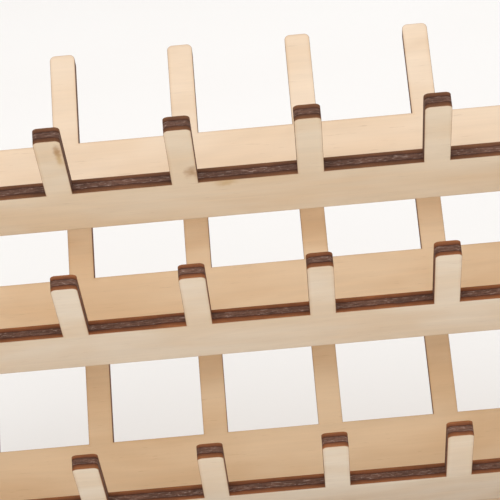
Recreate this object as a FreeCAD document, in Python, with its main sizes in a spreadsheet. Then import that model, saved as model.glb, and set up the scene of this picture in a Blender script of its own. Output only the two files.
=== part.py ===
"""A three-tier paint rack cut from plywood, in millimetres.

Each tier is a V of two equal combs that lean outwards, one to the front and one to the back. A bottle
lies level across the V, in a gap of the front comb and the gap of the back comb behind it. The combs and
two base rails end in tabs, glued into mortises in two side panels. X runs along the rack, Y to the back
and Z up. The origin is on the ground, under the middle of the rack.
"""

import FreeCAD, Part
import Sketcher
import os
from math import pi

# The driving dimensions: alias, value, meaning
SIZES = [
    ("comb_ply", 5.0, "thickness of the combs and base rails"),
    ("panel_ply", 5.0, "thickness of the side panels"),
    ("pitch", 40.0, "from one tooth to the next"),
    ("tooth_count", 8, "teeth on each comb"),
    ("tooth_width", 8.4, "width of a tooth"),
    ("tooth_length", 34.6, "from the beam's edge to the tooth's tip"),
    ("tip_radius", 1.8, "rounding of a tooth's corners"),
    ("beam_height", 24.4, "solid part of a comb, below its teeth"),
    ("vertex_gap", 6.0, "from the V's vertex to a comb's beam"),
    ("front_lean", 45.0, "angle of the front combs from upright"),
    ("back_lean", 45.0, "angle of the back combs from upright"),
    ("bottom_rise", 31.0, "ground to the bottom tier's vertex"),
    ("lower_spacing", 60.6, "bottom tier to middle tier"),
    ("upper_spacing", 47.7, "middle tier to top tier"),
    ("tab_height", 14.0, "height of a comb's tab"),
    ("joint_play", 0.1, "how much wider a mortise is than its tab"),
    ("panel_margin", 6.0, "from the farthest tooth tip to the panel's edge"),
    ("panel_radius", 14.0, "rounding of a panel's top corners"),
    ("foot_length", 24.0, "length of each of a panel's two feet"),
    ("foot_height", 7.0, "height of the relief between the feet"),
    ("relief_radius", 5.0, "rounding of that relief"),
    ("rail_height", 18.0, "height of a base rail"),
    ("rail_tab", 10.0, "height of a base rail's tab"),
    ("rail_lift", 9.0, "ground to a base rail's lower edge"),
    ("rail_inset", 16.0, "from a panel's edge to the base rail"),
]

doc = FreeCAD.newDocument("paint_rack")
sheet = doc.addObject("Spreadsheet::Sheet", "Sizes")
for row, (alias, value, meaning) in enumerate(SIZES, start=1):
    sheet.set(f"A{row}", meaning)
    sheet.set(f"B{row}", str(value))
    sheet.setAlias(f"B{row}", alias)
doc.recompute()


def size(alias):
    return f"Sizes.{alias}"


def degrees(alias):
    return f"Sizes.{alias} * 1 deg"


# Sizes that follow from the driving ones, as expressions
GAP = "(Sizes.pitch - Sizes.tooth_width)"
INNER_WIDTH = f"(Sizes.tooth_count * Sizes.pitch + {GAP})"
COMB_REACH = "(Sizes.vertex_gap + Sizes.beam_height + Sizes.tooth_length)"
FRONT_DEPTH = (
    f"({COMB_REACH} * sin({degrees('front_lean')})"
    f" + Sizes.comb_ply * cos({degrees('front_lean')}) + Sizes.panel_margin)"
)
BACK_DEPTH = (
    f"({COMB_REACH} * sin({degrees('back_lean')})"
    f" + Sizes.comb_ply * cos({degrees('back_lean')}) + Sizes.panel_margin)"
)
TIERS = {
    "bottom": "Sizes.bottom_rise",
    "middle": "(Sizes.bottom_rise + Sizes.lower_spacing)",
    "top": "(Sizes.bottom_rise + Sizes.lower_spacing + Sizes.upper_spacing)",
}
TIP_RISE = (
    f"({COMB_REACH} * max(cos({degrees('front_lean')}); cos({degrees('back_lean')})))"
)
PANEL_HEIGHT = f"({TIERS['top']} + {TIP_RISE} + Sizes.panel_margin)"
FRONT_RAIL_PLACE = f"(Sizes.rail_inset - {FRONT_DEPTH})"
BACK_RAIL_PLACE = f"({BACK_DEPTH} - Sizes.rail_inset - Sizes.comb_ply)"
TAB_START = "(Sizes.vertex_gap + (Sizes.beam_height - Sizes.tab_height) / 2)"
RAIL_TAB_START = "((Sizes.rail_height - Sizes.rail_tab) / 2)"


def number(expression):
    """What an expression comes to, as a plain number."""
    value = sheet.evalExpression(expression)
    return float(getattr(value, "Value", value))


def new_body(name):
    body = doc.addObject("PartDesign::Body", name)
    body.Label = name
    return body


def origin_plane(body, role):
    for feature in body.Origin.OriginFeatures:
        if feature.Role == role:
            return feature
    raise ValueError(f"{body.Label} has no {role}")


def outline(body, name, role, x, y, width, height, radius=None, angle="0 deg"):
    """A rectangle from its lower left corner at (x, y), turned by angle, its upper corners rounded."""
    sketch = body.newObject("Sketcher::SketchObject", name)
    sketch.AttachmentSupport = [(origin_plane(body, role), "")]
    sketch.MapMode = "FlatFace"
    sketch.setExpression("AttachmentOffset.Base.x", x)
    sketch.setExpression("AttachmentOffset.Base.y", y)
    sketch.AttachmentOffset.Rotation.Axis = FreeCAD.Vector(0, 0, 1)
    sketch.setExpression("AttachmentOffset.Rotation.Angle", angle)
    if radius is None:
        draw_rectangle(sketch, width, height)
    else:
        draw_round_top(sketch, width, height, radius)
    doc.recompute()
    return sketch


def draw_line(sketch, start, end):
    segment = Part.LineSegment(FreeCAD.Vector(*start, 0), FreeCAD.Vector(*end, 0))
    return sketch.addGeometry(segment, False)


def draw_arc(sketch, centre, radius, start_angle, end_angle):
    circle = Part.Circle(FreeCAD.Vector(*centre, 0), FreeCAD.Vector(0, 0, 1), radius)
    return sketch.addGeometry(Part.ArcOfCircle(circle, start_angle, end_angle), False)


def drive(sketch, kind, *terms):
    """Adds a size constraint. Its last term is the expression that drives it."""
    expression = terms[-1]
    value = number(expression)
    index = sketch.addConstraint(Sketcher.Constraint(kind, *terms[:-1], value))
    sketch.setExpression(f"Constraints[{index}]", expression)


def constrain(sketch, *terms):
    sketch.addConstraint(Sketcher.Constraint(*terms))


def draw_rectangle(sketch, width, height):
    """Four lines, drawn at size, whose lower left corner is the sketch's origin."""
    across = number(width)
    up = number(height)
    corners = [(0, 0), (across, 0), (across, up), (0, up)]
    lines = []
    for index, corner in enumerate(corners):
        lines.append(draw_line(sketch, corner, corners[(index + 1) % 4]))
    for index, line in enumerate(lines):
        constrain(sketch, "Coincident", line, 2, lines[(index + 1) % 4], 1)
    bottom, right, top, left = lines
    constrain(sketch, "Horizontal", bottom)
    constrain(sketch, "Horizontal", top)
    constrain(sketch, "Vertical", right)
    constrain(sketch, "Vertical", left)
    constrain(sketch, "Coincident", bottom, 1, -1, 1)
    drive(sketch, "DistanceX", bottom, 1, bottom, 2, width)
    drive(sketch, "DistanceY", right, 1, right, 2, height)


def draw_round_top(sketch, width, height, radius):
    """A rectangle from the sketch's origin, drawn at size, with an arc at each upper corner."""
    across = number(width)
    up = number(height)
    corner = number(radius)
    bottom = draw_line(sketch, (0, 0), (across, 0))
    right = draw_line(sketch, (across, 0), (across, up - corner))
    top = draw_line(sketch, (across - corner, up), (corner, up))
    left = draw_line(sketch, (0, up - corner), (0, 0))
    right_arc = draw_arc(sketch, (across - corner, up - corner), corner, 0, pi / 2)
    left_arc = draw_arc(sketch, (corner, up - corner), corner, pi / 2, pi)
    constrain(sketch, "Coincident", bottom, 1, -1, 1)
    constrain(sketch, "Coincident", bottom, 2, right, 1)
    constrain(sketch, "Coincident", left, 2, bottom, 1)
    constrain(sketch, "Tangent", right, 2, right_arc, 1)
    constrain(sketch, "Tangent", right_arc, 2, top, 1)
    constrain(sketch, "Tangent", top, 2, left_arc, 1)
    constrain(sketch, "Tangent", left_arc, 2, left, 1)
    constrain(sketch, "Horizontal", bottom)
    constrain(sketch, "Vertical", right)
    constrain(sketch, "Vertical", left)
    constrain(sketch, "Equal", right_arc, left_arc)
    drive(sketch, "DistanceX", bottom, 1, bottom, 2, width)
    drive(sketch, "DistanceY", bottom, 1, top, 2, height)
    drive(sketch, "Radius", right_arc, radius)


def pad(body, name, sketch, thickness):
    feature = body.newObject("PartDesign::Pad", name)
    feature.Profile = sketch
    feature.setExpression("Length", thickness)
    doc.recompute()
    return feature


def pocket_through(body, name, sketch):
    """Cuts the profile through the panel that the sketch's plane is the lower face of."""
    feature = body.newObject("PartDesign::Pocket", name)
    feature.Profile = sketch
    feature.setExpression("Length", size("panel_ply"))
    feature.Reversed = True
    doc.recompute()
    return feature


def board(name, start, height, tab_start, tab_height):
    """A board from panel to panel, with a tab at each end. Its left lower corner is near the origin."""
    body = new_body(name)
    beam = outline(body, f"{name}_beam", "XY_Plane", "0", start, INNER_WIDTH, height)
    pad(body, f"{name}_beam_pad", beam, size("comb_ply"))
    full_width = f"{INNER_WIDTH} + 2 * Sizes.panel_ply"
    tabs = outline(
        body, f"{name}_tabs", "XY_Plane", "-Sizes.panel_ply", tab_start, full_width, tab_height
    )
    pad(body, f"{name}_tabs_pad", tabs, size("comb_ply"))
    return body


def add_teeth(body, name):
    """The first tooth runs from the beam's foot to the tip, and is repeated along the board."""
    height = "Sizes.beam_height + Sizes.tooth_length"
    profile = outline(
        body,
        f"{name}_tooth",
        "XY_Plane",
        GAP,
        size("vertex_gap"),
        size("tooth_width"),
        height,
        size("tip_radius"),
    )
    tooth = pad(body, f"{name}_tooth_pad", profile, size("comb_ply"))
    teeth = body.newObject("PartDesign::LinearPattern", f"{name}_teeth")
    teeth.Originals = [tooth]
    teeth.Direction = (profile, ["H_Axis"])
    teeth.setExpression("Length", "(Sizes.tooth_count - 1) * Sizes.pitch")
    teeth.setExpression("Occurrences", size("tooth_count"))
    body.Tip = teeth
    doc.recompute()


def place(body, y, z, angle):
    """Centres a board along X, turned about X by angle, with its origin at (y, z)."""
    body.Placement.Rotation = FreeCAD.Rotation(FreeCAD.Vector(1, 0, 0), 90)
    body.setExpression("Placement.Base.x", f"-{INNER_WIDTH} / 2")
    body.setExpression("Placement.Base.y", y)
    body.setExpression("Placement.Base.z", z)
    body.setExpression("Placement.Rotation.Angle", angle)


def comb(name):
    body = board(name, size("vertex_gap"), size("beam_height"), TAB_START, size("tab_height"))
    add_teeth(body, name)
    return body


def front_comb(tier):
    """The front comb's back face passes through the tier's vertex."""
    body = comb(f"front_comb_{tier}")
    place(body, "0", TIERS[tier], f"90 deg + {degrees('front_lean')}")


def back_comb(tier):
    """The back comb's upper face passes through the tier's vertex."""
    body = comb(f"back_comb_{tier}")
    y = f"Sizes.comb_ply * cos({degrees('back_lean')})"
    z = f"{TIERS[tier]} - Sizes.comb_ply * sin({degrees('back_lean')})"
    place(body, y, z, f"90 deg - {degrees('back_lean')}")


def base_rail(name, front_face):
    """A plain board on edge. front_face is the Y of the face that looks to the front."""
    body = board(name, "0", size("rail_height"), RAIL_TAB_START, size("rail_tab"))
    place(body, f"{front_face} + Sizes.comb_ply", size("rail_lift"), "90 deg")


def mortise(body, name, y, z, along, across, length, angle):
    """A slot for a tab. along and across are its corner's distances from (y, z), turned by angle."""
    low_along = f"({along} - Sizes.joint_play / 2)"
    low_across = f"({across} - Sizes.joint_play / 2)"
    corner_y = f"{y} + {low_along} * cos({angle}) - {low_across} * sin({angle})"
    corner_z = f"{z} + {low_along} * sin({angle}) + {low_across} * cos({angle})"
    profile = outline(
        body,
        name,
        "YZ_Plane",
        corner_y,
        corner_z,
        f"{length} + Sizes.joint_play",
        "Sizes.comb_ply + Sizes.joint_play",
        angle=angle,
    )
    pocket_through(body, f"{name}_cut", profile)


def side_panel(name, inner_x):
    """An upright board with two feet and a mortise for every tab. inner_x is the X of its left face."""
    body = new_body(name)
    depth = f"{FRONT_DEPTH} + {BACK_DEPTH}"
    plate = outline(
        body,
        f"{name}_outline",
        "YZ_Plane",
        f"-{FRONT_DEPTH}",
        "0",
        depth,
        PANEL_HEIGHT,
        size("panel_radius"),
    )
    pad(body, f"{name}_pad", plate, size("panel_ply"))
    relief = outline(
        body,
        f"{name}_relief",
        "YZ_Plane",
        f"Sizes.foot_length - {FRONT_DEPTH}",
        "0",
        f"{depth} - 2 * Sizes.foot_length",
        size("foot_height"),
        size("relief_radius"),
    )
    pocket_through(body, f"{name}_relief_cut", relief)
    front_angle = f"(90 deg + {degrees('front_lean')})"
    back_angle = f"(90 deg - {degrees('back_lean')})"
    tab_length = size("tab_height")
    for tier, vertex in TIERS.items():
        front_name = f"{name}_front_{tier}"
        mortise(body, front_name, "0", vertex, TAB_START, "0", tab_length, front_angle)
        back_name = f"{name}_back_{tier}"
        under = "-Sizes.comb_ply"
        mortise(body, back_name, "0", vertex, TAB_START, under, tab_length, back_angle)
    rail_tab_rise = f"(Sizes.rail_lift + {RAIL_TAB_START})"
    for end, rail_place in (("front", FRONT_RAIL_PLACE), ("back", BACK_RAIL_PLACE)):
        rail_name = f"{name}_rail_{end}"
        behind = "-Sizes.comb_ply"
        length = size("rail_tab")
        mortise(body, rail_name, rail_place, rail_tab_rise, "0", behind, length, "90 deg")
    body.setExpression("Placement.Base.x", inner_x)


side_panel("side_panel_left", f"-{INNER_WIDTH} / 2 - Sizes.panel_ply")
side_panel("side_panel_right", f"{INNER_WIDTH} / 2")
for tier_name in TIERS:
    front_comb(tier_name)
    back_comb(tier_name)
base_rail("base_rail_front", FRONT_RAIL_PLACE)
base_rail("base_rail_back", BACK_RAIL_PLACE)
doc.recompute()


def check_document():
    """Stops on a failed object, a bad shape, a loose solid or a cut that removed nothing."""
    for item in doc.Objects:
        if {"Invalid", "Error"} & set(item.State):
            raise RuntimeError(f"{item.Label} failed: {item.State}")
    smallest_cut = 1.0
    for item in doc.Objects:
        if item.TypeId != "PartDesign::Pocket":
            continue
        removed = item.BaseFeature.Shape.Volume - item.Shape.Volume
        if removed < smallest_cut:
            raise RuntimeError(f"{item.Label} cuts nothing")


def bodies():
    return [item for item in doc.Objects if item.TypeId == "PartDesign::Body"]


check_document()
for piece in bodies():
    if piece.Shape.isNull() or not piece.Shape.isValid() or len(piece.Shape.Solids) != 1:
        raise RuntimeError(f"{piece.Label} isn't one valid solid")

os.makedirs("parts", exist_ok=True)
for piece in bodies():
    piece.Shape.exportStep(os.path.join("parts", f"{piece.Label}.step"))
    box = piece.Shape.BoundBox
    print(
        f"{piece.Label:18s} {piece.Shape.Volume:9.1f} mm3"
        f"  X {box.XMin:7.1f} {box.XMax:7.1f}"
        f"  Y {box.YMin:6.1f} {box.YMax:6.1f}"
        f"  Z {box.ZMin:6.1f} {box.ZMax:6.1f}"
    )
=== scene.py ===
"""A three-tier plywood paint rack on a pale studio floor. Metres, Z up, the rack faces -Y."""

import bpy
import bmesh
import math
from mathutils import Matrix, Vector


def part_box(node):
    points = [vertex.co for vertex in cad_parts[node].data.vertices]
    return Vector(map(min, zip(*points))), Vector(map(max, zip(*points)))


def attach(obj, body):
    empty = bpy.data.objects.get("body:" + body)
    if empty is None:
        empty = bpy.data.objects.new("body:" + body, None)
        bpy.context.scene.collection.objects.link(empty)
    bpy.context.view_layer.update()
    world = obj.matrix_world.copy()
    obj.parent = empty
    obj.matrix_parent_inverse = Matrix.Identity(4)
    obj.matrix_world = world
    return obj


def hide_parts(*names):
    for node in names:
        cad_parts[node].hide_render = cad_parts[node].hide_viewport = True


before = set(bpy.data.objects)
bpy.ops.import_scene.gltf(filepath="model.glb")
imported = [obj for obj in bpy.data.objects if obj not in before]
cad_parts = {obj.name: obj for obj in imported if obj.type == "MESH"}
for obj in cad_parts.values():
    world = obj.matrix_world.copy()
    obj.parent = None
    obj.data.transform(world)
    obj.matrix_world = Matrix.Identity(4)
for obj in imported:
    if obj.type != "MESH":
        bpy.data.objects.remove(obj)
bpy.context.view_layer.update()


# ---- The tiers' combs ----------------------------------------------------------------------
# Each tier is a V of two equal combs, laser-cut from 5 mm three-ply birch: a beam with a tab at
# each end and a row of teeth. The laser leaves the cut edges burnt, with a fine groove along each
# of the two glue lines.

PLY = 0.005
PANEL_PLY = 0.005
TOOTH_COUNT = 8
PITCH = 0.040
TOOTH_WIDTH = 0.0084
TOOTH_LENGTH = 0.0346
BEAM_HEIGHT = 0.0244
VERTEX_GAP = 0.006
COMB_TAB = 0.014
TIP_RADIUS = 0.0018
TIP_SEGMENTS = 7
GAP = PITCH - TOOTH_WIDTH
INNER_WIDTH = TOOTH_COUNT * PITCH + GAP
COMB_LEAN = math.radians(45)

OUTER_PLY = 0.0015
GLUE_LINE = 0.00016
GLUE_DEPTH = 0.00009
EDGE_ROUNDING = 0.00012
ROUNDING_SEGMENTS = 2
SINGE_WIDTH = 0.0009
FACE_SLOT = 0
EDGE_SLOT = 1

SAME_PLACE = 1e-5
MERGE_DISTANCE = 1e-6
STRAIGHT_ANGLE = math.radians(1)
SMOOTH_ANGLE = math.radians(35)
FACE_LEAN_LIMIT = math.radians(45)
ARRIS_ANGLE = math.radians(60)


def start_piece(name):
    """Deselects everything and adds a unit plane, left in edit mode with all of it selected."""
    bpy.ops.object.select_all(action="DESELECT")
    bpy.ops.mesh.primitive_plane_add(size=1, location=(0, 0, 0))
    piece = bpy.context.object
    piece.name = name
    piece.data.name = name
    bpy.ops.object.mode_set(mode="EDIT")
    bpy.ops.mesh.select_all(action="SELECT")
    return piece


def select_where(piece, kind, test):
    """Selects only the vertices, edges or faces of the edited mesh that pass the test."""
    bpy.ops.mesh.select_all(action="DESELECT")
    mode = {"verts": "VERT", "edges": "EDGE", "faces": "FACE"}[kind]
    bpy.ops.mesh.select_mode(type=mode)
    edited = bmesh.from_edit_mesh(piece.data)
    for part in getattr(edited, kind):
        part.select_set(test(part))
    edited.select_flush_mode()
    bmesh.update_edit_mesh(piece.data)


def middle(edge):
    return (edge.verts[0].co + edge.verts[1].co) / 2


def cut_across(position, normal):
    """Cuts the whole flat outline along a line."""
    bpy.ops.mesh.select_all(action="SELECT")
    bpy.ops.mesh.bisect(plane_co=position, plane_no=normal)


def near(a, b):
    return abs(a - b) < SAME_PLACE


def join_to_one_face():
    """Dissolves the cuts inside a flat outline, so that it is one face."""
    bpy.ops.mesh.select_all(action="SELECT")
    bpy.ops.mesh.remove_doubles(threshold=MERGE_DISTANCE)
    bpy.ops.mesh.dissolve_limited(angle_limit=STRAIGHT_ANGLE)


def draw_board(name, width, low_edge, height, tab_height):
    """A flat beam with a tab at each end, in its own frame: X along the rack, Y up the board."""
    piece = start_piece(name)
    bpy.ops.transform.resize(value=(width, height, 1), center_override=(0, 0, 0))
    bpy.ops.transform.translate(value=(0, low_edge + height / 2, 0))
    tab_low = low_edge + (height - tab_height) / 2
    for level in (tab_low, tab_low + tab_height):
        cut_across((0, level, 0), (0, 1, 0))
    for end in (-1, 1):
        side = end * width / 2
        select_where(
            piece,
            "edges",
            lambda e: near(middle(e).x, side) and near(middle(e).y, tab_low + tab_height / 2),
        )
        bpy.ops.mesh.extrude_region_move(
            TRANSFORM_OT_translate={"value": (end * PANEL_PLY, 0, 0)}
        )
    return piece


def add_teeth(piece, low_edge, height):
    """Pulls the teeth up from the beam's edge."""
    edge_level = low_edge + height
    first = -PITCH * (TOOTH_COUNT - 1) / 2
    centres = [first + PITCH * number for number in range(TOOTH_COUNT)]
    for centre in centres:
        for side in (-1, 1):
            cut_across((centre + side * TOOTH_WIDTH / 2, 0, 0), (1, 0, 0))
    select_where(
        piece,
        "edges",
        lambda e: near(middle(e).y, edge_level) and any(near(middle(e).x, c) for c in centres),
    )
    bpy.ops.mesh.extrude_region_move(
        TRANSFORM_OT_translate={"value": (0, TOOTH_LENGTH, 0)}
    )


def round_corners(piece, level, radius, segments):
    """Rounds the outline's corners that lie at one height of the board."""
    select_where(piece, "verts", lambda v: near(v.co.y, level))
    bpy.ops.mesh.bevel(offset=radius, segments=segments, affect="VERTICES")


def thicken(piece):
    """Gives a flat outline its three plies, with a groove along each glue line."""
    glue_lines = (OUTER_PLY, PLY - OUTER_PLY)
    levels = []
    for line in glue_lines:
        levels += [line - GLUE_LINE / 2, line, line + GLUE_LINE / 2]
    levels.append(PLY)
    bpy.ops.mesh.select_mode(type="FACE")
    bpy.ops.mesh.select_all(action="SELECT")
    level_below = 0
    for level in levels:
        bpy.ops.mesh.extrude_region_move(
            TRANSFORM_OT_translate={"value": (0, 0, level - level_below)}
        )
        level_below = level
    bpy.ops.mesh.select_all(action="SELECT")
    bpy.ops.mesh.normals_make_consistent(inside=False)
    select_where(piece, "verts", lambda v: any(near(v.co.z, g) for g in glue_lines))
    bpy.ops.transform.shrink_fatten(value=-GLUE_DEPTH)


def on_face(level):
    return near(level, 0) or near(level, PLY)


def finish_board(piece):
    """Rounds the arrises, sets "singe" to 1 at the rims of both faces and 0 inside them, and tells
    the faces' veneer from the cut edges by their material slots."""
    select_where(
        piece,
        "edges",
        lambda e: on_face(e.verts[0].co.z)
        and near(e.verts[0].co.z, e.verts[1].co.z)
        and e.calc_face_angle(0) > ARRIS_ANGLE,
    )
    bpy.ops.mesh.bevel(offset=EDGE_ROUNDING, segments=ROUNDING_SEGMENTS, affect="EDGES")
    select_where(piece, "faces", lambda f: on_face(f.calc_center_median().z))
    bpy.ops.mesh.inset(thickness=SINGE_WIDTH, use_even_offset=True)
    bpy.ops.object.mode_set(mode="OBJECT")
    mesh = piece.data
    singe = mesh.attributes.new("singe", "FLOAT", "POINT")
    singe.data.foreach_set("value", [1.0] * len(mesh.vertices))
    for face in mesh.polygons:
        is_outside = abs(face.center.z - PLY / 2) > PLY / 2 - EDGE_ROUNDING
        is_flat = abs(face.normal.z) > math.cos(FACE_LEAN_LIMIT)
        face.material_index = FACE_SLOT if is_outside and is_flat else EDGE_SLOT
        if face.select:
            for vertex in face.vertices:
                singe.data[vertex].value = 0.0


def keep_sheet_place(piece, shift, grain_up=False):
    """Stores each point's place on the raw plywood sheet: X along the grain, Z through the plies."""
    mesh = piece.data
    place = mesh.attributes.new("sheet", "FLOAT_VECTOR", "POINT")
    for vertex in mesh.vertices:
        spot = vertex.co.yxz if grain_up else vertex.co
        place.data[vertex.index].vector = spot + Vector(shift)


def set_in_place(piece, location, turn):
    """Turns a board, moves it to its place and applies both to its mesh."""
    piece.location = location
    piece.rotation_euler = turn
    bpy.ops.object.select_all(action="DESELECT")
    piece.select_set(True)
    bpy.context.view_layer.objects.active = piece
    bpy.ops.object.transform_apply(location=True, rotation=True, scale=True)
    bpy.ops.object.shade_smooth_by_angle(angle=SMOOTH_ANGLE)


def linear(red, green, blue):
    """A colour given as a screen shows it, from 0 to 255, as light by the sRGB curve."""
    light = []
    for level in (red / 255, green / 255, blue / 255):
        low = level <= 0.04045
        light.append(level / 12.92 if low else ((level + 0.055) / 1.055) ** 2.4)
    return (*light, 1)


def add_node(tree, kind, **settings):
    node = tree.nodes.new("ShaderNode" + kind)
    for name, value in settings.items():
        setattr(node, name, value)
    return node


def feed(tree, socket, value):
    """Links a socket to another, or sets it to a plain value."""
    if isinstance(value, bpy.types.NodeSocket):
        tree.links.new(value, socket)
    else:
        socket.default_value = value


def calculate(tree, operation, *values):
    node = add_node(tree, "Math", operation=operation)
    for socket, value in zip(node.inputs, values):
        feed(tree, socket, value)
    return node.outputs[0]


def stretched(tree, vector, scale, shift=(0, 0, 0)):
    node = add_node(tree, "Mapping")
    feed(tree, node.inputs["Vector"], vector)
    node.inputs["Scale"].default_value = scale
    node.inputs["Location"].default_value = shift
    return node.outputs[0]


def cloudy(tree, vector, scale, detail=3.0, roughness=0.5, distortion=0.0):
    node = add_node(tree, "TexNoise")
    feed(tree, node.inputs["Vector"], vector)
    node.inputs["Scale"].default_value = scale
    node.inputs["Detail"].default_value = detail
    node.inputs["Roughness"].default_value = roughness
    node.inputs["Distortion"].default_value = distortion
    return node.outputs[0]


def fade(tree, value, low, high, to_low=0.0, to_high=1.0, smooth=True):
    """Maps low..high to to_low..to_high."""
    node = add_node(tree, "MapRange", interpolation_type="SMOOTHSTEP" if smooth else "LINEAR")
    for name, setting in (
        ("Value", value),
        ("From Min", low),
        ("From Max", high),
        ("To Min", to_low),
        ("To Max", to_high),
    ):
        feed(tree, node.inputs[name], setting)
    return node.outputs[0]


def blend(tree, amount, first, second, mode="MIX"):
    """Mixes two colours; 6 and 7 are the colour sockets of a Mix node, and 2 its colour output."""
    node = add_node(tree, "Mix", data_type="RGBA", blend_type=mode)
    feed(tree, node.inputs[0], amount)
    feed(tree, node.inputs[6], first)
    feed(tree, node.inputs[7], second)
    return node.outputs[2]


def new_group(name, inputs, outputs):
    """An empty shader node group with named sockets: (group, its inputs, its output sockets)."""
    group = bpy.data.node_groups.new(name, "ShaderNodeTree")
    for label, kind in inputs:
        group.interface.new_socket(label, in_out="INPUT", socket_type="NodeSocket" + kind)
    for label, kind in outputs:
        group.interface.new_socket(label, in_out="OUTPUT", socket_type="NodeSocket" + kind)
    entry = group.nodes.new("NodeGroupInput")
    leave = group.nodes.new("NodeGroupOutput")
    return group, entry.outputs, leave.inputs


def place_group(tree, group, **values):
    node = add_node(tree, "Group", node_tree=group)
    for name, value in values.items():
        feed(tree, node.inputs[name], value)
    return node.outputs


RING_WAVES = 95
PORE_BROWN = (150, 112, 72)
HAZE_BROWN = (196, 146, 90)
RIM_BROWN = (132, 92, 58)


def make_birch_face():
    """Rotary-cut birch veneer: pale, with faint wavy rings, fine grain along X and short pores."""
    group, given, result = new_group(
        "birch_face",
        [("Sheet", "Vector"), ("Singe", "Float"), ("Pale", "Color"), ("Warm", "Color")],
        [("Color", "Color"), ("Roughness", "Float"), ("Height", "Float")],
    )
    sheet = given["Sheet"]
    # Broad patches of the pale and the warm tone
    blotch = cloudy(group, stretched(group, sheet, (14, 42, 14)), 1.0, 3.0, 0.55, 0.4)
    tone = blend(group, fade(group, blotch, 0.32, 0.68), given["Pale"], given["Warm"])
    # Growth rings, grain and bands of grain, all along the sheet
    growth = cloudy(group, stretched(group, sheet, (5, 34, 5)), 1.0, 2.0, 0.5, 0.3)
    rings = calculate(group, "SINE", calculate(group, "MULTIPLY", growth, RING_WAVES))
    ring_tone = fade(group, rings, -1.0, 1.0, 0.982, 1.008, smooth=False)
    grain = cloudy(group, stretched(group, sheet, (22, 900, 30)), 1.0, 4.0, 0.62, 0.25)
    grain_tone = fade(group, grain, 0.3, 0.7, 0.976, 1.018, smooth=False)
    band = cloudy(group, stretched(group, sheet, (7, 190, 10)), 1.0, 3.0, 0.55, 0.6)
    band_tone = fade(group, band, 0.3, 0.7, 0.986, 1.010, smooth=False)
    figure = calculate(group, "MULTIPLY", grain_tone, band_tone)
    figure = calculate(group, "MULTIPLY", figure, ring_tone)
    tone = blend(group, 1.0, tone, figure, "MULTIPLY")
    # Short dark pores
    pores = cloudy(group, stretched(group, sheet, (160, 2600, 100)), 1.0, 2.0, 0.5)
    pore_mask = fade(group, pores, 0.66, 0.76)
    tone = blend(group, calculate(group, "MULTIPLY", pore_mask, 0.2), tone, linear(*PORE_BROWN))
    # Smoke haze towards the cut edge, and its scorched rim
    haze = calculate(group, "MULTIPLY", given["Singe"], fade(group, blotch, 0.3, 0.6, 0.06, 0.22))
    tone = blend(group, haze, tone, linear(*HAZE_BROWN))
    rim = fade(group, given["Singe"], 0.84, 1.0, 0.0, 0.42)
    tone = blend(group, rim, tone, linear(*RIM_BROWN))
    group.links.new(tone, result["Color"])
    group.links.new(fade(group, grain, 0.3, 0.7, 0.52, 0.66), result["Roughness"])
    relief = calculate(group, "SUBTRACT", grain, calculate(group, "MULTIPLY", pore_mask, 0.6))
    group.links.new(relief, result["Height"])
    return group


PLY_WAVER = 0.00012
PLY_DRIFT = 0.00022
PLY_BLUR = 0.00014
RIND_DEPTH = 0.0001
GLUE_STAIN_CORE = 0.00004
GLUE_STAIN_REACH = 0.00020
RIND_DARK = (116, 78, 52)
RIND_RED = (152, 94, 56)
ROOT_DARK = (84, 51, 36)
ROOT_RED = (98, 52, 32)
CORE_BROWN = (102, 72, 59)
THREAD_PALE = (156, 131, 119)
THREAD_DARK = (58, 39, 34)
GLUE_DARK = (58, 31, 22)


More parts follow.
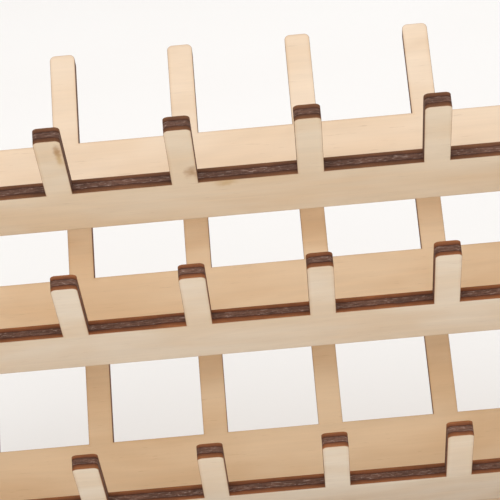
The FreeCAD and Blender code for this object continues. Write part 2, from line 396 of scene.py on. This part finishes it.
def make_burnt_edge():
    """A laser-cut edge: brown outer plies, redder and darker inwards, and a core with pale threads."""
    group, given, result = new_group(
        "burnt_edge",
        [("Sheet", "Vector"), ("Red", "Float")],
        [("Color", "Color"), ("Roughness", "Float"), ("Height", "Float")],
    )
    sheet = given["Sheet"]
    # How far from the board's middle, with plies that waver a little
    split = add_node(group, "SeparateXYZ")
    group.links.new(sheet, split.inputs[0])
    waver = cloudy(group, stretched(group, sheet, (240, 240, 60)), 1.0, 3.0, 0.6)
    drift = cloudy(group, stretched(group, sheet, (24, 24, 10)), 1.0, 2.0, 0.5)
    wander = calculate(
        group,
        "ADD",
        fade(group, waver, 0.3, 0.7, -PLY_WAVER, PLY_WAVER, smooth=False),
        fade(group, drift, 0.3, 0.7, -PLY_DRIFT, PLY_DRIFT, smooth=False),
    )
    depth = calculate(group, "ADD", split.outputs[2], wander)
    from_middle = calculate(group, "ABSOLUTE", calculate(group, "SUBTRACT", depth, PLY / 2))
    to_glue = PLY / 2 - OUTER_PLY
    outer = fade(group, from_middle, to_glue - PLY_BLUR, to_glue + PLY_BLUR)
    # Patches, streaks along the plies, pale threads, and soot across them
    patch = cloudy(group, stretched(group, sheet, (46, 46, 150), (3, 1, 0)), 1.0, 3.0, 0.6)
    streak = cloudy(group, stretched(group, sheet, (210, 210, 3000)), 1.0, 3.0, 0.65, 0.5)
    thread = cloudy(group, stretched(group, sheet, (430, 430, 2500)), 1.0, 4.0, 0.65, 0.8)
    scorch = cloudy(group, stretched(group, sheet, (5200, 5200, 260)), 1.0, 2.0, 0.5)
    # The outer plies
    outwards = fade(group, from_middle, to_glue, PLY / 2 - RIND_DEPTH, smooth=False)
    rind = blend(group, given["Red"], linear(*RIND_DARK), linear(*RIND_RED))
    root = blend(group, given["Red"], linear(*ROOT_DARK), linear(*ROOT_RED))
    outer_tone = blend(group, outwards, root, rind)
    outer_dark = fade(group, streak, 0.3, 0.7, 0.80, 1.20, smooth=False)
    outer_tone = blend(group, 1.0, outer_tone, outer_dark, "MULTIPLY")
    # The core
    core_dark = fade(group, streak, 0.34, 0.66, 0.70, 1.28, smooth=False)
    core_tone = blend(group, 1.0, linear(*CORE_BROWN), core_dark, "MULTIPLY")
    pale_thread = fade(group, thread, 0.53, 0.68, 0, 0.85)
    core_tone = blend(group, pale_thread, core_tone, linear(*THREAD_PALE))
    dark_thread = fade(group, thread, 0.46, 0.34, 0, 0.60)
    core_tone = blend(group, dark_thread, core_tone, linear(*THREAD_DARK))
    tone = blend(group, outer, core_tone, outer_tone)
    # The glue lines, and what goes over all of the edge
    off_glue = calculate(group, "ABSOLUTE", calculate(group, "SUBTRACT", from_middle, to_glue))
    glue = fade(group, off_glue, GLUE_STAIN_CORE, GLUE_STAIN_REACH, 0.6, 0.0)
    tone = blend(group, glue, tone, linear(*GLUE_DARK))
    uneven = fade(group, patch, 0.32, 0.68, 0.80, 1.22, smooth=False)
    tone = blend(group, 1.0, tone, uneven, "MULTIPLY")
    soot = fade(group, scorch, 0.35, 0.65, 0.93, 1.05, smooth=False)
    tone = blend(group, 1.0, tone, soot, "MULTIPLY")
    group.links.new(tone, result["Color"])
    group.links.new(fade(group, streak, 0.3, 0.7, 0.62, 0.85), result["Roughness"])
    ridges = calculate(group, "ADD", streak, calculate(group, "MULTIPLY", scorch, 0.5))
    group.links.new(calculate(group, "ADD", ridges, thread), result["Height"])
    return group


BIRCH_FACE = make_birch_face()
BURNT_EDGE = make_burnt_edge()


def attribute(tree, name, output):
    return add_node(tree, "Attribute", attribute_name=name).outputs[output]


def shade(tree, look, specular, bump_height, bump_strength):
    """Feeds a group's colour, roughness and height to the material's own shader."""
    shader = tree.nodes["Principled BSDF"]
    shader.inputs["Specular IOR Level"].default_value = specular
    tree.links.new(look["Roughness"], shader.inputs["Roughness"])
    bump = add_node(tree, "Bump")
    bump.inputs["Strength"].default_value = bump_strength
    bump.inputs["Distance"].default_value = bump_height
    tree.links.new(look["Height"], bump.inputs["Height"])
    tree.links.new(bump.outputs[0], shader.inputs["Normal"])
    return shader


def add_smoke_mark(tree, sheet, tone, centre, half_size, stain_tone, strength):
    """A soft oval stain with a ragged outline."""
    scale = (1 / half_size[0], 1 / half_size[1], 0)
    shift = (-centre[0] / half_size[0], -centre[1] / half_size[1], 0)
    reach = add_node(tree, "VectorMath", operation="LENGTH")
    feed(tree, reach.inputs[0], stretched(tree, sheet, scale, shift))
    ragged = cloudy(tree, stretched(tree, sheet, (300, 300, 0)), 1.0, 3.0, 0.6)
    ragged = fade(tree, ragged, 0.3, 0.7, -0.3, 0.3, smooth=False)
    distance = calculate(tree, "ADD", reach.outputs["Value"], ragged)
    stain = fade(tree, distance, 1.25, 0.0, 0.0, strength)
    return blend(tree, stain, tone, linear(*stain_tone))


def birch_material(name, pale, warm, marks=()):
    """Bare sanded veneer. A mark is a smoke stain: middle on the sheet, half sizes, tone, strength."""
    material = bpy.data.materials.new(name)
    material.use_nodes = True
    tree = material.node_tree
    sheet = attribute(tree, "sheet", "Vector")
    look = place_group(
        tree,
        BIRCH_FACE,
        Sheet=sheet,
        Singe=attribute(tree, "singe", "Fac"),
        Pale=linear(*pale),
        Warm=linear(*warm),
    )
    shader = shade(tree, look, specular=0.25, bump_height=0.00004, bump_strength=0.35)
    tone = look["Color"]
    for mark in marks:
        tone = add_smoke_mark(tree, sheet, tone, *mark)
    tree.links.new(tone, shader.inputs["Base Color"])
    return material


def edge_material(name, red):
    """The burnt edge, from dark at 0 to red-brown at 1."""
    material = bpy.data.materials.new(name)
    material.use_nodes = True
    tree = material.node_tree
    look = place_group(tree, BURNT_EDGE, Sheet=attribute(tree, "sheet", "Vector"), Red=red)
    shader = shade(tree, look, specular=0.2, bump_height=0.00012, bump_strength=0.6)
    tree.links.new(look["Color"], shader.inputs["Base Color"])
    return material


def tier_vertex(tier):
    """Where the planes of a tier's two combs meet, from the frame."""
    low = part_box(f"front_comb_{tier}")[0]
    return Vector((0, 0, low.z - (VERTEX_GAP - PLY) * math.cos(COMB_LEAN)))


def model_comb(name):
    piece = draw_board(name, INNER_WIDTH, VERTEX_GAP, BEAM_HEIGHT, COMB_TAB)
    add_teeth(piece, VERTEX_GAP, BEAM_HEIGHT)
    join_to_one_face()
    round_corners(piece, VERTEX_GAP + BEAM_HEIGHT + TOOTH_LENGTH, TIP_RADIUS, TIP_SEGMENTS)
    thicken(piece)
    finish_board(piece)
    return piece


def copy_piece(source, name):
    piece = source.copy()
    piece.data = source.data.copy()
    piece.name = name
    piece.data.name = name
    bpy.context.collection.objects.link(piece)
    return piece


# Each comb is cut from its own place on the sheet, so no two have the same grain
TIERS = ("top", "middle", "bottom")
TIER_SHEET_X = 0.37
TIER_SHEET_Y = 0.1
ROW_SHEET_Y = 0.9
# Each board's pale and warm veneer tones. These are partly the board's own tone and partly painted
# light. The front combs are paler and greyer, a painted sheen on their faces. The middle back comb is
# more orange, painted bounce light from the wood around it. The bottom back comb is darker, painted
# shade under the tier above.
BOARD_TONES_AND_PAINTED_LIGHT = {
    "front_comb_top": ((236, 220, 197), (231, 208, 178)),
    "front_comb_middle": ((238, 225, 206), (232, 212, 186)),
    "front_comb_bottom": ((238, 225, 206), (232, 212, 186)),
    "back_comb_top": ((238, 217, 193), (232, 207, 179)),
    "back_comb_middle": ((237, 211, 178), (228, 196, 158)),
    "back_comb_bottom": ((223, 197, 164), (213, 182, 145)),
}
# The smoke that the laser left on the top front comb: two of its teeth and its beam
SMOKE_BROWN = (166, 122, 78)
SMOKE_YELLOW = (196, 158, 92)
SMOKE_MARKS = [
    ((-0.0571, 0.0538), (0.0013, 0.0056), SMOKE_YELLOW, 0.60),
    ((-0.0573, 0.0584), (0.0013, 0.0048), SMOKE_BROWN, 0.65),
    ((-0.0174, 0.0378), (0.0026, 0.0044), SMOKE_BROWN, 0.72),
    ((-0.0071, 0.0290), (0.0044, 0.0026), SMOKE_YELLOW, 0.55),
]
EDGE_REDS = {"top": 0.15, "middle": 0.85, "bottom": 0.75}

comb_pattern = model_comb("comb_pattern")
for number, tier in enumerate(TIERS):
    burnt = edge_material(f"burnt_edge_{tier}", EDGE_REDS[tier])
    front_corner = tier_vertex(tier)
    back_corner = front_corner + PLY * Vector((0, math.sin(COMB_LEAN), -math.cos(COMB_LEAN)))
    sides = (
        ("front", math.pi / 2 + COMB_LEAN, front_corner),
        ("back", math.pi / 2 - COMB_LEAN, back_corner),
    )
    for row, (side, turn, corner) in enumerate(sides):
        node = f"{side}_comb_{tier}"
        comb = copy_piece(comb_pattern, f"{node}_ply")
        sheet_up = TIER_SHEET_Y * number + ROW_SHEET_Y * row
        keep_sheet_place(comb, (TIER_SHEET_X * number, sheet_up, 0))
        set_in_place(comb, corner, (turn, 0, 0))
        marks = SMOKE_MARKS if node == "front_comb_top" else ()
        comb.data.materials.append(birch_material(f"birch_{node}", *BOARD_TONES_AND_PAINTED_LIGHT[node], marks))
        comb.data.materials.append(burnt)
        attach(comb, "root")
        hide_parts(node)
bpy.data.objects.remove(comb_pattern)


# ---- The base rails -------------------------------------------------------------------------
# Two plain strips of the same plywood on edge, front and back, that keep the side panels' feet
# apart. They are cut with the same tabs as the combs and glued in.

RAIL_NODES = ("base_rail_front", "base_rail_back")
RAIL_TAB = 0.010
RAIL_SHEET_X = 0.23
RAIL_SHEET_Y = 2.0
RAIL_SHEET_STEP = 0.1
PLAIN_TONE = ((238, 217, 190), (229, 203, 171))
PLAIN_RED = 0.3

for number, node in enumerate(RAIL_NODES):
    low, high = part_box(node)
    rail = draw_board(f"{node}_ply", INNER_WIDTH, 0, high.z - low.z, RAIL_TAB)
    join_to_one_face()
    thicken(rail)
    finish_board(rail)
    keep_sheet_place(rail, (RAIL_SHEET_X * number, RAIL_SHEET_Y + RAIL_SHEET_STEP * number, 0))
    set_in_place(rail, (0, high.y, low.z), (math.pi / 2, 0, 0))
    rail.data.materials.append(birch_material(f"birch_{node}", *PLAIN_TONE))
    rail.data.materials.append(edge_material(f"burnt_{node}", PLAIN_RED))
    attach(rail, "root")
    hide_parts(node)


# ---- The side panels ------------------------------------------------------------------------
# Two upright plywood panels with round top corners and two feet. Every comb and rail ends in a
# tab that is glued into its own mortise here, and shows its burnt end on the outside.

PANEL_RADIUS = 0.014
PANEL_SEGMENTS = 12
FOOT_LENGTH = 0.024
FOOT_HEIGHT = 0.007
RELIEF_RADIUS = 0.005
RELIEF_SEGMENTS = 6
JOINT_PLAY = 0.0001
PANEL_SHEET_X = 0.3
PANEL_SHEET_Y = 3.0


def cut_mortise(piece, centre, turn, length):
    """Cuts a slot for a tab through a panel that lies flat in its own frame."""
    bpy.ops.object.select_all(action="DESELECT")
    bpy.ops.mesh.primitive_cube_add(size=1, location=(*centre, PANEL_PLY / 2))
    cutter = bpy.context.object
    cutter.scale = (length + JOINT_PLAY, PLY + JOINT_PLAY, PANEL_PLY * 3)
    cutter.rotation_euler = (0, 0, turn)
    bpy.ops.object.transform_apply(location=True, rotation=True, scale=True)
    cut = piece.modifiers.new("mortise", "BOOLEAN")
    cut.operation = "DIFFERENCE"
    cut.solver = "EXACT"
    cut.object = cutter
    bpy.context.view_layer.objects.active = piece
    bpy.ops.object.modifier_apply(modifier=cut.name)
    bpy.data.objects.remove(cutter)


def draw_panel(name, depth, height):
    """A panel's outline in its own frame: X to the back, Y up, with the relief between its feet."""
    piece = start_piece(name)
    bpy.ops.transform.resize(value=(depth, height, 1), center_override=(0, 0, 0))
    bpy.ops.transform.translate(value=(0, height / 2, 0))
    inner = depth / 2 - FOOT_LENGTH
    for side in (-1, 1):
        cut_across((side * inner, 0, 0), (1, 0, 0))
    cut_across((0, FOOT_HEIGHT, 0), (0, 1, 0))
    select_where(
        piece,
        "faces",
        lambda f: abs(f.calc_center_median().x) < inner
        and f.calc_center_median().y < FOOT_HEIGHT,
    )
    bpy.ops.mesh.delete(type="FACE")
    join_to_one_face()
    round_corners(piece, height, PANEL_RADIUS, PANEL_SEGMENTS)
    round_corners(piece, FOOT_HEIGHT, RELIEF_RADIUS, RELIEF_SEGMENTS)
    return piece


def comb_tab_centre(tier, lean):
    """Where a comb's tab goes through a panel: Y and Z on the rack."""
    along = Matrix.Rotation(math.pi / 2 - lean, 3, "Z") @ Vector((VERTEX_GAP + BEAM_HEIGHT / 2, 0, 0))
    half_ply = PLY / 2 * math.cos(lean)
    across = Vector((math.copysign(half_ply, lean), -half_ply, 0))
    return (Vector((0, tier_vertex(tier).z, 0)) + along + across).xy


for end, node in ((-1, "side_panel_left"), (1, "side_panel_right")):
    low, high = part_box(node)
    panel = draw_panel(f"{node}_ply", high.y - low.y, high.z - low.z)
    thicken(panel)
    bpy.ops.object.mode_set(mode="OBJECT")
    for tier in TIERS:
        for lean in (-COMB_LEAN, COMB_LEAN):
            cut_mortise(panel, comb_tab_centre(tier, lean), math.pi / 2 - lean, COMB_TAB)
    for rail in RAIL_NODES:
        rail_low, rail_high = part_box(rail)
        centre = (rail_low + rail_high) / 2
        cut_mortise(panel, (centre.y, centre.z), math.pi / 2, RAIL_TAB)
    bpy.ops.object.mode_set(mode="EDIT")
    finish_board(panel)
    keep_sheet_place(panel, (PANEL_SHEET_X * end, PANEL_SHEET_Y, 0), grain_up=True)
    set_in_place(panel, (low.x, 0, 0), (math.pi / 2, 0, math.pi / 2))
    panel.data.materials.append(birch_material(f"birch_{node}", *PLAIN_TONE))
    panel.data.materials.append(edge_material(f"burnt_{node}", PLAIN_RED))
    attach(panel, "root")
    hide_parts(node)


# ---- The studio -----------------------------------------------------------------------------
# A white floor that curves up into a round wall, lit by large soft boxes in front, above and
# behind, so that the rack throws hardly any shadow.

SWEEP_RADIUS = 3.2
SWEEP_SIDES = 96
WALL_HEIGHT = 1.0
WALL_CURVE = 0.8
CURVE_SEGMENTS = 16
PAPER_GREY = (246, 244, 242)
PAPER_WHITE = (249, 248, 247)
PAPER_ROUGHNESS = 0.9

bpy.ops.object.select_all(action="DESELECT")
bpy.ops.mesh.primitive_circle_add(vertices=SWEEP_SIDES, radius=SWEEP_RADIUS, location=(0, 0, 0))
sweep = bpy.context.object
sweep.name = "studio_sweep"
bpy.ops.object.mode_set(mode="EDIT")
select_where(sweep, "edges", lambda e: True)
bpy.ops.mesh.extrude_region_move(TRANSFORM_OT_translate={"value": (0, 0, WALL_HEIGHT)})
select_where(sweep, "edges", lambda e: near(middle(e).z, 0))
bpy.ops.mesh.edge_face_add()
bpy.ops.mesh.select_all(action="SELECT")
bpy.ops.mesh.normals_make_consistent(inside=True)
select_where(sweep, "edges", lambda e: near(middle(e).z, 0))
bpy.ops.mesh.bevel(offset=WALL_CURVE, segments=CURVE_SEGMENTS, affect="EDGES")
bpy.ops.object.mode_set(mode="OBJECT")
bpy.ops.object.shade_smooth_by_angle(angle=SMOOTH_ANGLE)

paper = bpy.data.materials.new("studio_paper")
paper.use_nodes = True
paper_tree = paper.node_tree
paper_shader = paper_tree.nodes["Principled BSDF"]
paper_place = add_node(paper_tree, "TexCoord").outputs["Object"]
paper_cloud = fade(paper_tree, cloudy(paper_tree, paper_place, 1.5), 0.3, 0.7)
paper_tone = blend(paper_tree, paper_cloud, linear(*PAPER_GREY), linear(*PAPER_WHITE))
paper_tree.links.new(paper_tone, paper_shader.inputs["Base Color"])
paper_shader.inputs["Roughness"].default_value = PAPER_ROUGHNESS
sweep.data.materials.append(paper)

# Each light: its name, place, size and power in watts
LIGHT_AIM = Vector((0, 0, 0.1))
LIGHTS = (
    ("key_box", (-0.5, -1.5, 1.1), 1.6, 13),
    ("fill_box", (1.4, -1.1, 0.9), 1.4, 6.5),
    ("top_box", (0.1, 0.6, 2.1), 1.8, 5),
    ("floor_box", (0, 0.95, 1.2), 1.4, 5.5),
)
for name, place, size, watts in LIGHTS:
    lamp = bpy.data.lights.new(name, "AREA")
    lamp.shape = "SQUARE"
    lamp.size = size
    lamp.energy = watts
    holder = bpy.data.objects.new(name, lamp)
    holder.location = place
    aim = LIGHT_AIM - Vector(place)
    holder.rotation_euler = aim.to_track_quat("-Z", "Y").to_euler()
    holder.visible_camera = False
    bpy.context.collection.objects.link(holder)

AIR_TONE = (252, 250, 248)
AIR_STRENGTH = 0.62
world = bpy.data.worlds.new("studio_air")
world.use_nodes = True
air = world.node_tree.nodes["Background"]
air.inputs["Color"].default_value = linear(*AIR_TONE)
air.inputs["Strength"].default_value = AIR_STRENGTH
bpy.context.scene.world = world
bpy.context.scene.view_settings.view_transform = "Standard"


# ---- The camera -----------------------------------------------------------------------------
# A long lens, a little above the rack and almost square on to it, held slightly tilted. It looks
# at the middle of the rack, so the ends and the base are outside its view.

CAMERA_AIM = Vector((-0.0019, 0, 0.1251))
CAMERA_DISTANCE = 0.8270
CAMERA_ELEVATION = math.radians(18.27)
CAMERA_SIDE = math.radians(0.85)
CAMERA_ROLL = math.radians(-5.40)
CAMERA_LENS = 180.6
SENSOR_WIDTH = 36

away = Vector(
    (
        math.sin(CAMERA_SIDE) * math.cos(CAMERA_ELEVATION),
        -math.cos(CAMERA_SIDE) * math.cos(CAMERA_ELEVATION),
        math.sin(CAMERA_ELEVATION),
    )
)
camera_data = bpy.data.cameras.new("camera")
camera_data.lens = CAMERA_LENS
camera_data.sensor_width = SENSOR_WIDTH
camera = bpy.data.objects.new("camera", camera_data)
facing = away.to_track_quat("Z", "Y").to_matrix() @ Matrix.Rotation(CAMERA_ROLL, 3, "Z")
camera.matrix_world = Matrix.Translation(CAMERA_AIM + CAMERA_DISTANCE * away) @ facing.to_4x4()
bpy.context.collection.objects.link(camera)
bpy.context.scene.camera = camera
